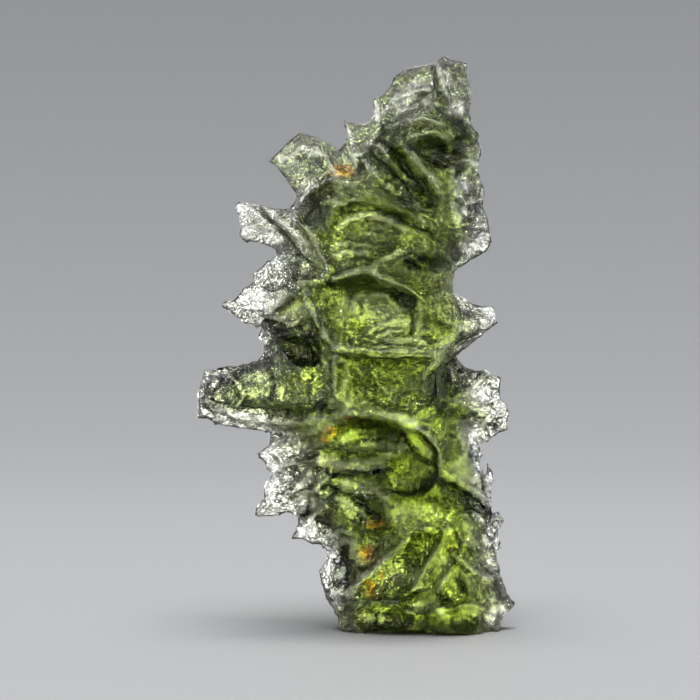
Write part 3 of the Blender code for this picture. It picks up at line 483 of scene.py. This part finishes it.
# Fields of fine parallel lines on the front: their slope in degrees, rising to the right, their
# spacing in columns, their height in millimetres, and the field's corners
STRIAE = {
    "top_lobe_fan": (28, 6.5, 0.07, [
        (372, 120), (392, 96), (430, 84), (440, 96), (400, 120), (380, 132),
    ]),
    "slope": (-50, 6.5, 0.10, [
        (366, 140), (392, 128), (444, 190), (434, 208), (396, 196), (362, 168),
    ]),
    "round_lobe": (88, 5.5, 0.08, [(294, 170), (306, 166), (324, 174), (322, 196), (300, 198)]),
    "lower_spike": (4, 6.0, 0.08, [(244, 290), (304, 290), (306, 322), (246, 322)]),
    "upper_spike": (-38, 6.0, 0.07, [(234, 206), (262, 206), (300, 250), (270, 248)]),
    "right_fin": (-48, 5.5, 0.09, [(452, 384), (490, 378), (506, 404), (486, 416), (456, 412)]),
    "white_facets": (60, 6.5, 0.07, [(458, 430), (486, 428), (490, 480), (450, 484)]),
    "below_junction": (82, 9.0, 0.08, [(344, 362), (400, 362), (410, 400), (346, 396)]),
    "arm": (12, 8.0, 0.09, [(222, 376), (320, 372), (330, 412), (224, 408)]),
    "column": (78, 7.0, 0.09, [(452, 132), (484, 132), (492, 250), (460, 252)]),
    "hollow": (8, 7.0, 0.08, [(318, 424), (386, 420), (396, 448), (322, 456)]),
    "low_flank": (-30, 7.0, 0.09, [(440, 476), (500, 508), (504, 560), (444, 540)]),
    "left_fins": (34, 6.5, 0.09, [(252, 446), (318, 432), (326, 540), (290, 546), (252, 512)]),
}

# Spots left by minerals on the front: the colour they give, and each spot's middle, half width
# and half height in columns
AMBER_SPOTS = [
    (369, 583, 6, 9), (371, 520, 7, 4), (380, 519, 5, 5), (381, 571, 3, 4), (331, 429, 7, 5),
    (324, 437, 6, 4), (342, 172, 11, 8), (364, 552, 5, 6),
]
BROWN_SPOTS = [
    (349, 415, 8, 4), (368, 547, 5, 7), (450, 543, 3, 2), (447, 536, 2, 2), (284, 441, 3, 2),
    (314, 331, 3, 3), (340, 166, 8, 3), (380, 524, 4, 2),
]


def finished(mesh, kind, **settings):
    """The mesh that a modifier makes of another."""
    blank = bpy.data.objects.new("stone_blank", mesh)
    bpy.context.scene.collection.objects.link(blank)
    modifier = blank.modifiers.new(kind.lower(), kind)
    for name, value in settings.items():
        setattr(modifier, name, value)
    bpy.context.view_layer.update()
    graph = bpy.context.evaluated_depsgraph_get()
    made = bpy.data.meshes.new_from_object(blank.evaluated_get(graph))
    bpy.data.objects.remove(blank)
    return made


def keep_largest(bm):
    """Drops the crumbs that the remesh leaves where the glass is thinnest."""
    left = set(bm.verts)
    largest = set()
    while left:
        found = {left.pop()}
        to_visit = list(found)
        while to_visit:
            vert = to_visit.pop()
            for edge in vert.link_edges:
                other = edge.other_vert(vert)
                if other not in found:
                    found.add(other)
                    to_visit.append(other)
        left -= found
        if len(found) > len(largest):
            largest = found
    crumbs = [vert for vert in bm.verts if vert not in largest]
    bmesh.ops.delete(bm, geom=crumbs, context="VERTS")


def stone_mesh():
    """A fine closed copy of the solid's mesh, in millimetres."""
    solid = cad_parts["moldavite"]
    bm = bmesh.new()
    bm.from_mesh(solid.data)
    bmesh.ops.scale(bm, vec=(MILLIMETRES,) * 3, verts=bm.verts)
    bmesh.ops.remove_doubles(bm, verts=bm.verts, dist=0.001)
    bmesh.ops.recalc_face_normals(bm, faces=bm.faces)
    crease = bm.edges.layers.float.new("crease_edge")
    for edge in bm.edges:
        bend = edge.calc_face_angle(0.0)
        edge[crease] = min(1.0, max(0.0, (bend - RIDGE_FROM) / (RIDGE_FULL - RIDGE_FROM)))
    coarse = bpy.data.meshes.new("stone_coarse")
    bm.to_mesh(coarse)
    bm.free()
    # Two levels round the flat facets off, and the creases keep the ridges sharp
    rounded = finished(coarse, "SUBSURF", levels=2, render_levels=2)
    fine = finished(rounded, "REMESH", mode="VOXEL", voxel_size=GRAIN)
    bm = bmesh.new()
    bm.from_mesh(fine)
    keep_largest(bm)
    for _ in range(SMOOTHING_STEPS):
        bmesh.ops.smooth_vert(
            bm, verts=bm.verts, factor=0.5, use_axis_x=True, use_axis_y=True, use_axis_z=True,
        )
    bm.to_mesh(fine)
    bm.free()
    return fine


def points_and_normals(mesh):
    """The vertices' places and normals as arrays."""
    count = len(mesh.vertices)
    points = np.empty(count * 3)
    mesh.vertices.foreach_get("co", points)
    normals = np.empty(count * 3)
    mesh.vertex_normals.foreach_get("vector", normals)
    return points.reshape(-1, 3), normals.reshape(-1, 3)


def glass_under(tree, points, normals):
    """How much glass lies under each point, straight in from the surface."""
    found = np.full(len(points), THICKEST)
    for index, (point, normal) in enumerate(zip(points, normals)):
        inward = -Vector(normal)
        distance = tree.ray_cast(Vector(point) + inward * PROBE_START, inward, THICKEST)[3]
        if distance is not None:
            found[index] = distance
    return found


def glass_across(tree, points, normals):
    """How deep the stone is from front to back at each point, next to nothing at its edge."""
    found = np.zeros(len(points))
    probes = points - normals * PROBE_START
    for index, (x, _, z) in enumerate(probes):
        front = tree.ray_cast(Vector((x, -FAR_OUT, z)), Vector((0, 1, 0)))[0]
        back = tree.ray_cast(Vector((x, FAR_OUT, z)), Vector((0, -1, 0)))[0]
        if front is not None and back is not None:
            found[index] = back.y - front.y
    return found


def front_view(points):
    """The columns and rows of the points in the front view, straying a little as etched lines do."""
    low, high = (np.array(corner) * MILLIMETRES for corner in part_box("moldavite"))
    across = (points[:, 0] - low[0]) / (high[0] - low[0])
    up = (points[:, 2] - low[2]) / (high[2] - low[2])
    columns = LEFT_COLUMN + across * (RIGHT_COLUMN - LEFT_COLUMN)
    rows = FOOT_ROW - up * (FOOT_ROW - TOP_ROW)
    strays = np.array([noise.noise_vector(Vector(point) / STRAY_SPACING) for point in points])
    return np.column_stack([columns + STRAY * strays[:, 0], rows + STRAY * strays[:, 2]])


def within(spots, corners, margin):
    """Which spots of the front view lie in the box round the corners, with a margin."""
    corners = np.array(corners)
    low = corners.min(axis=0) - margin
    high = corners.max(axis=0) + margin
    return np.nonzero(np.all((spots > low) & (spots < high), axis=1))[0]


def distance_to_line(spots, line):
    """The distance of spots of the front view to a line of several points."""
    nearest = np.full(len(spots), np.inf)
    for start, end in zip(line, line[1:]):
        start = np.array(start)
        way = np.array(end) - start
        along = np.clip((spots - start) @ way / (way @ way), 0, 1)
        nearest = np.minimum(nearest, np.linalg.norm(spots - start - along[:, None] * way, axis=1))
    return nearest


def share_inside(spots, corners, softness):
    """1 well inside a patch of the front view, 0 outside it, and less than 1 near its edge."""
    inside = np.zeros(len(spots), bool)
    for (ax, ay), (bx, by) in zip(corners, corners[1:] + corners[:1]):
        if ay == by:
            continue
        crosses = (ay > spots[:, 1]) != (by > spots[:, 1])
        inside ^= crosses & (spots[:, 0] < ax + (spots[:, 1] - ay) * (bx - ax) / (by - ay))
    edge = distance_to_line(spots, corners + corners[:1])
    return np.clip(0.5 + np.where(inside, edge, -edge) / softness, 0, 1)


def scallops(points, spacing, seed):
    """Hollows with sharp rims between them, from -1 at the deepest to 0 at the rim."""
    out = np.empty(len(points))
    shift = Vector((seed, seed * 1.7, seed * 0.6))
    for index, point in enumerate(points):
        place = Vector(point) / spacing + shift
        place += 0.35 * noise.noise_vector(place * 0.8)
        nearest = noise.voronoi(place)[0][0]
        out[index] = -max(0.0, 1.0 - (nearest / 0.75) ** 2)
    return out


def wrinkles(points, spacing, seed):
    """Sharp winding creases with round swells between them, from 0 in a crease to 1."""
    shift = Vector((seed, seed * 0.4, seed * 1.3))
    return np.array([abs(noise.noise(Vector(point) / spacing + shift)) for point in points]) * 2.0


def front_lines(spots):
    """The height of the drawn ridges, grooves and fine lines at spots of the front view."""
    height = np.zeros(len(spots))
    for rise, half_width, line in LINES.values():
        near = within(spots, line, half_width)
        away = distance_to_line(spots[near], line)
        height[near] += rise * np.clip(1.0 - away / half_width, 0, 1) ** 1.2
    for slope, spacing, rise, field in STRIAE.values():
        near = within(spots, field, 3.0)
        turn = math.radians(slope)
        across = spots[near] @ np.array([math.sin(turn), math.cos(turn)])
        waves = np.abs(np.sin(across * math.pi / spacing))
        height[near] += rise * (waves - 0.5) * share_inside(spots[near], field, 6.0)
    return height


def front_painted_light_and_shade(spots):
    """Painted light and shade: -1 for nearly black painted shade, 1 for a silvery white painted
    highlight.
    Ridge crests get painted highlights, and grooves painted shade.
    """
    light_and_shade_painted = np.zeros(len(spots))
    for painted_brightness, softness, corners in PAINTED_LIGHT_AND_SHADE.values():
        near = within(spots, corners, softness)
        light_and_shade_painted[near] += painted_brightness * share_inside(spots[near], corners, softness)
    # Painted highlights along the crests of the ridges, and painted shade along the grooves
    for rise, half_width, line in LINES.values():
        near = within(spots, line, half_width)
        away = distance_to_line(spots[near], line)
        painted_brightness = CREST_PAINTED_HIGHLIGHT if rise > 0 else -GROOVE_PAINTED_SHADE
        light_and_shade_painted[near] += painted_brightness * np.clip(1.4 - 1.4 * away / half_width, 0, 1)
    return np.clip(light_and_shade_painted, -1, 1)


def front_spots(spots, places):
    """1 in the middle of each mineral spot, and 0 away from them."""
    found = np.zeros(len(spots))
    for column, row, half_width, half_height in places:
        away = np.hypot((spots[:, 0] - column) / half_width, (spots[:, 1] - row) / half_height)
        found = np.maximum(found, np.clip(1.6 - 1.2 * away, 0, 1))
    return found


def store(mesh, name, values):
    """Keeps a value for each vertex under a name that the glass reads."""
    attribute = mesh.attributes.new(name, "FLOAT", "POINT")
    attribute.data.foreach_set("value", values.astype(np.float32))


def etch(mesh):
    """Etches the fine mesh, and gives it the attributes that the glass reads."""
    points, normals = points_and_normals(mesh)
    tree = BVHTree.FromPolygons([v.co for v in mesh.vertices], [p.vertices for p in mesh.polygons])
    thick = glass_under(tree, points, normals)
    depth = glass_across(tree, points, normals)
    height = np.zeros(len(points))
    for number, (spacing, sink) in enumerate(SCALLOPS):
        height += sink * scallops(points, spacing, 3.1 * number)
    for number, (spacing, rise) in enumerate(WRINKLES):
        height += rise * (wrinkles(points, spacing, 5.3 * number) - 0.5)
    spots = front_view(points)
    front = np.clip(-normals[:, 1] * FRONT_GAIN, 0, 1)
    height += front * front_lines(spots)
    most = thick * MOST_OF_THICKNESS
    height = most * np.tanh(height / np.maximum(most, 1e-6))
    points += normals * height[:, None]
    points[:, 2] = np.maximum(points[:, 2], 0.0)
    mesh.vertices.foreach_set("co", points.ravel())
    mesh.update()
    facing = front > FACING_FRONT
    store(mesh, "depth", depth)
    # The front's painted shade and painted highlights, which the glass reads
    store(mesh, "painted_brightness", facing * front_painted_light_and_shade(spots))
    store(mesh, "amber", facing * front_spots(spots, AMBER_SPOTS))
    store(mesh, "brown", facing * front_spots(spots, BROWN_SPOTS))


class Builder:
    """Adds nodes to a node tree and links them."""

    def __init__(self, tree):
        self.tree = tree

    def node(self, kind, settings=None, **inputs):
        """A new node with its settings, and with a value or a link for each named input."""
        made = self.tree.nodes.new(kind)
        for name, value in (settings or {}).items():
            setattr(made, name, value)
        for name, value in inputs.items():
            self.give(made.inputs[name.replace("_", " ")], value)
        return made

    def give(self, socket, value):
        """Links another node's output to a socket, or sets the socket's own value."""
        if isinstance(value, bpy.types.NodeSocket):
            self.tree.links.new(value, socket)
        else:
            socket.default_value = value

    def math(self, operation, first, second=0.0):
        made = self.node("ShaderNodeMath", {"operation": operation})
        self.give(made.inputs[0], first)
        self.give(made.inputs[1], second)
        return made.outputs[0]

    def spread(self, value, low, high, to_low=0.0, to_high=1.0):
        """A value's range spread over another one, held at its ends."""
        made = self.node("ShaderNodeMapRange", {"clamp": True})
        self.give(made.inputs["Value"], value)
        made.inputs["From Min"].default_value = low
        made.inputs["From Max"].default_value = high
        made.inputs["To Min"].default_value = to_low
        made.inputs["To Max"].default_value = to_high
        return made.outputs["Result"]

    def mix(self, share, first, second):
        """The first colour where the share is 0, and the second where it is 1."""
        made = self.node("ShaderNodeMix", {"data_type": "RGBA"})
        self.give(made.inputs["Factor"], share)
        self.give(made.inputs[6], first)
        self.give(made.inputs[7], second)
        return made.outputs[2]

    def between(self, share, first, second):
        """The first value where the share is 0, and the second where it is 1."""
        return self.spread(share, 0.0, 1.0, first, second)

    def threads(self, value, width):
        """0 along winding dark threads where the value crosses a half, and 1 between them."""
        away = self.math("ABSOLUTE", self.math("SUBTRACT", value, 0.5))
        return self.spread(away, 0.0, width)

    def own(self, name):
        """One of the values that the stone keeps at its own vertices."""
        return self.node("ShaderNodeAttribute", {"attribute_name": name}).outputs["Fac"]


def glass():
    """Olive green glass, satin where it is etched, with silvery thin edges and mineral spots, and with
    painted shade and painted highlights on its front.
    """
    material = bpy.data.materials.new("moldavite_glass")
    material.use_nodes = True
    make = Builder(material.node_tree)
    shader = material.node_tree.nodes["Principled BSDF"]
    shader.inputs["IOR"].default_value = GLASS_IOR
    shader.inputs["Transmission Weight"].default_value = CLEARNESS
    shader.inputs["Coat Roughness"].default_value = SATIN_ROUGHNESS
    shader.inputs["Coat IOR"].default_value = SATIN_IOR
    volume = make.node("ShaderNodeVolumeAbsorption", Color=GLASS_COLOUR, Density=GLASS_DENSITY)
    make.give(material.node_tree.nodes["Material Output"].inputs["Volume"], volume.outputs["Volume"])

    # The grain, which the bumps follow
    place = make.node("ShaderNodeTexCoord").outputs["Object"]
    cloud_noise = make.node(
        "ShaderNodeTexNoise", Vector=place, Scale=CLOUD_SCALE, Detail=2.0, Distortion=0.6,
    ).outputs["Fac"]
    thread_noise = make.node(
        "ShaderNodeTexNoise", Vector=place, Scale=THREAD_SCALE, Detail=3.0, Distortion=1.2,
    ).outputs["Fac"]
    hair_noise = make.node(
        "ShaderNodeTexNoise", Vector=place, Scale=HAIR_SCALE, Detail=2.0, Distortion=0.8,
    ).outputs["Fac"]
    thread_bump = make.node(
        "ShaderNodeBump", Height=thread_noise, Strength=1.0, Distance=THREAD_DEPTH,
    ).outputs["Normal"]
    hair_bump = make.node(
        "ShaderNodeBump", Height=hair_noise, Strength=1.0, Distance=HAIR_DEPTH, Normal=thread_bump,
    ).outputs["Normal"]
    make.give(shader.inputs["Normal"], hair_bump)

    # Light is 1 on the etched skin between the dark threads and hairs, in brighter and dimmer clouds
    threads = make.threads(thread_noise, 0.07)
    hairs = make.threads(hair_noise, 0.08)
    cloud = make.spread(cloud_noise, 0.38, 0.62, 0.3, 1.0)
    light = make.math("MULTIPLY", make.math("MULTIPLY", threads, hairs), cloud)

    # The skin is olive over the body, silvery on the fins and greenish on the upper ones
    # The front's painted shade and painted highlights
    painted_brightness = make.own("painted_brightness")
    thin = make.spread(make.own("depth"), BODY_DEPTH, FIN_DEPTH)
    height = make.node("ShaderNodeSeparateXYZ", Vector=place).outputs["Z"]
    fins = make.mix(make.spread(height, SILVER_BELOW, GREEN_ABOVE), SILVER_SKIN, GREEN_SKIN)
    skin = make.mix(thin, BODY_SKIN, fins)
    hollow = make.mix(thin, BODY_HOLLOW, FIN_HOLLOW)
    # The colours of the painted highlights
    painted_highlight_colour = make.mix(thin, BODY_PAINTED_HIGHLIGHT, FIN_PAINTED_HIGHLIGHT)
    etched = make.mix(light, hollow, skin)

    # Painted shade turns the shaded places nearly black, and painted highlights turn pale
    shade = make.spread(painted_brightness, 0.0, -0.8, 0.0, 0.97)
    shaded = make.mix(shade, etched, PAINTED_SHADE_COLOUR)
    painted_highlight = make.spread(painted_brightness, 0.0, 0.8)
    painted_highlight_in_grain = make.math("MULTIPLY", painted_highlight, make.spread(light, 0.0, 0.5, 0.35, 1.0))
    with_painted_light = make.mix(painted_highlight_in_grain, shaded, painted_highlight_colour)

    # The satin coat lies on bare edges, on the painted highlights and, thinly, on the etched skin
    # outside the painted shade
    rim = make.spread(make.own("depth"), RIM_DEPTH, BARE_DEPTH, 0.0, 0.6)
    grain_outside_painted_shade = make.math("MULTIPLY", light, make.spread(painted_brightness, -0.5, 0.0))
    satin = make.math("MULTIPLY", grain_outside_painted_shade, make.between(thin, 0.03, 0.25))
    painted_highlight_coat = make.math("MULTIPLY", painted_highlight_in_grain, make.between(thin, 0.45, 0.9))
    edged = make.math("MAXIMUM", painted_highlight_coat, rim)
    make.give(shader.inputs["Coat Weight"], make.math("MAXIMUM", edged, satin))

    # Mineral spots, broken up by the grain
    broken = make.spread(thread_noise, 0.38, 0.52)
    amber = make.math("MULTIPLY", make.own("amber"), broken)
    brown = make.math("MULTIPLY", make.own("brown"), broken)
    stained = make.mix(amber, with_painted_light, AMBER_STAIN)
    make.give(shader.inputs["Base Color"], make.mix(brown, stained, BROWN_STAIN))
    make.give(shader.inputs["Roughness"], make.spread(light, 0.0, 1.0, 0.24, 0.10))
    return material


def build_stone():
    """The whole stone, which stands in for the solid."""
    mesh = stone_mesh()
    etch(mesh)
    # The remesh makes four-sided faces
    triangles = 2 * len(mesh.polygons)
    mesh = finished(mesh, "DECIMATE", ratio=min(1.0, MOST_TRIANGLES / triangles))
    bm = bmesh.new()
    bm.from_mesh(mesh)
    bmesh.ops.scale(bm, vec=(1 / MILLIMETRES,) * 3, verts=bm.verts)
    bm.to_mesh(mesh)
    bm.free()
    mesh.name = "etched_stone"
    for polygon in mesh.polygons:
        polygon.use_smooth = True
    mesh.materials.clear()
    mesh.materials.append(glass())
    stone = bpy.data.objects.new("etched_stone", mesh)
    bpy.context.scene.collection.objects.link(stone)
    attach(stone, "root")
    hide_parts("moldavite")
    return stone


def plain_material(name, colour, roughness):
    """One even colour."""
    material = bpy.data.materials.new(name)
    material.use_nodes = True
    shader = material.node_tree.nodes["Principled BSDF"]
    shader.inputs["Base Color"].default_value = (*colour, 1)
    shader.inputs["Roughness"].default_value = roughness
    return material


def build_floor():
    """A round pale floor that sweeps up into a wall all round."""
    bm = bmesh.new()
    start = bm.verts.new((0.0, 0.0, 0.0))
    edge = bmesh.ops.extrude_vert_indiv(bm, verts=[start])
    tip = edge["verts"][0]
    tip.co = (FLOOR_RADIUS, 0.0, 0.0)
    curve = bmesh.ops.spin(
        bm, geom=[tip], cent=(FLOOR_RADIUS, 0.0, FLOOR_BEND), axis=(0, -1, 0),
        angle=math.radians(90), steps=16, use_duplicate=False,
    )
    last = [v for v in curve["geom_last"] if isinstance(v, bmesh.types.BMVert)][0]
    top = bmesh.ops.extrude_vert_indiv(bm, verts=[last])["verts"][0]
    top.co = last.co + Vector((0, 0, FLOOR_WALL))
    bmesh.ops.spin(
        bm, geom=bm.verts[:] + bm.edges[:], cent=(0, 0, 0), axis=(0, 0, 1), angle=math.tau, steps=96,
        use_merge=True,
    )
    bmesh.ops.remove_doubles(bm, verts=bm.verts, dist=1e-5)
    bmesh.ops.recalc_face_normals(bm, faces=bm.faces)
    mesh = bpy.data.meshes.new("floor")
    bm.to_mesh(mesh)
    bm.free()
    for polygon in mesh.polygons:
        polygon.use_smooth = True
    mesh.materials.append(plain_material("pale_floor", (0.5, 0.5, 0.5), 0.7))
    floor = bpy.data.objects.new("floor", mesh)
    bpy.context.scene.collection.objects.link(floor)


def build_light(name, place, aim_height, size, power, seen=True):
    """A soft rectangular light that aims at the stone's axis at a height."""
    data = bpy.data.lights.new(name, "AREA")
    data.shape = "RECTANGLE"
    data.size, data.size_y = size
    data.energy = power
    light = bpy.data.objects.new(name, data)
    light.location = place
    aim = Vector((0, 0, aim_height))
    light.rotation_euler = (aim - Vector(place)).to_track_quat("-Z", "Y").to_euler()
    light.visible_camera = seen
    bpy.context.scene.collection.objects.link(light)
    return light


def light_only(light, receivers, spread):
    """Keeps a light on what it is meant for, so that it throws no glare on the floor."""
    light.data.spread = math.radians(spread)
    light.light_linking.receiver_collection = receivers


def build_camera():
    """The view of the stone's front."""
    data = bpy.data.cameras.new("camera")
    data.lens = LENS_MM
    data.sensor_width = 36
    data.clip_start = 0.005
    camera = bpy.data.objects.new("camera", data)
    camera.location = Vector(CAMERA_AIM) - Vector((0, CAMERA_DISTANCE, 0))
    camera.rotation_euler = (math.radians(90), 0, 0)
    bpy.context.scene.collection.objects.link(camera)
    bpy.context.scene.camera = camera


def build_world():
    """Even light from all round."""
    world = bpy.data.worlds.new("studio")
    bpy.context.scene.world = world
    world.use_nodes = True
    background = world.node_tree.nodes["Background"]
    background.inputs["Color"].default_value = (0.9, 0.93, 1.0, 1)
    background.inputs["Strength"].default_value = 0.35


def set_render():
    """Enough bounces for thick glass, and a view with strong contrast."""
    scene = bpy.context.scene
    scene.cycles.use_denoising = True
    scene.cycles.max_bounces = 24
    scene.cycles.transmission_bounces = 24
    scene.cycles.volume_bounces = 2
    scene.view_settings.view_transform = "Standard"
    scene.view_settings.look = "High Contrast"


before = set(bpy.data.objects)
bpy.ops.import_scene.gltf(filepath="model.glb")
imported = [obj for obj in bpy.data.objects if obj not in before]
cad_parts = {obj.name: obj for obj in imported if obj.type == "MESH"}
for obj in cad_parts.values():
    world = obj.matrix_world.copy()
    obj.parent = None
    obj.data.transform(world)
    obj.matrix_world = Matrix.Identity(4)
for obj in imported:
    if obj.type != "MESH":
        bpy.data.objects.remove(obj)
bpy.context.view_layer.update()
noise.seed_set(NOISE_SEED)
stone = build_stone()
build_floor()
build_light("overhead", (0.0, -0.1, 0.7), STONE_MIDDLE, (0.5, 0.5), 3.6)
lit_glass = bpy.data.collections.new("lit_glass")
lit_glass.objects.link(stone)
for name, place, aim_height, size, spread, power in STONE_LIGHTS:
    light = build_light(name, place, aim_height, size, power, seen=False)
    light_only(light, lit_glass, spread)
build_camera()
build_world()
set_render()
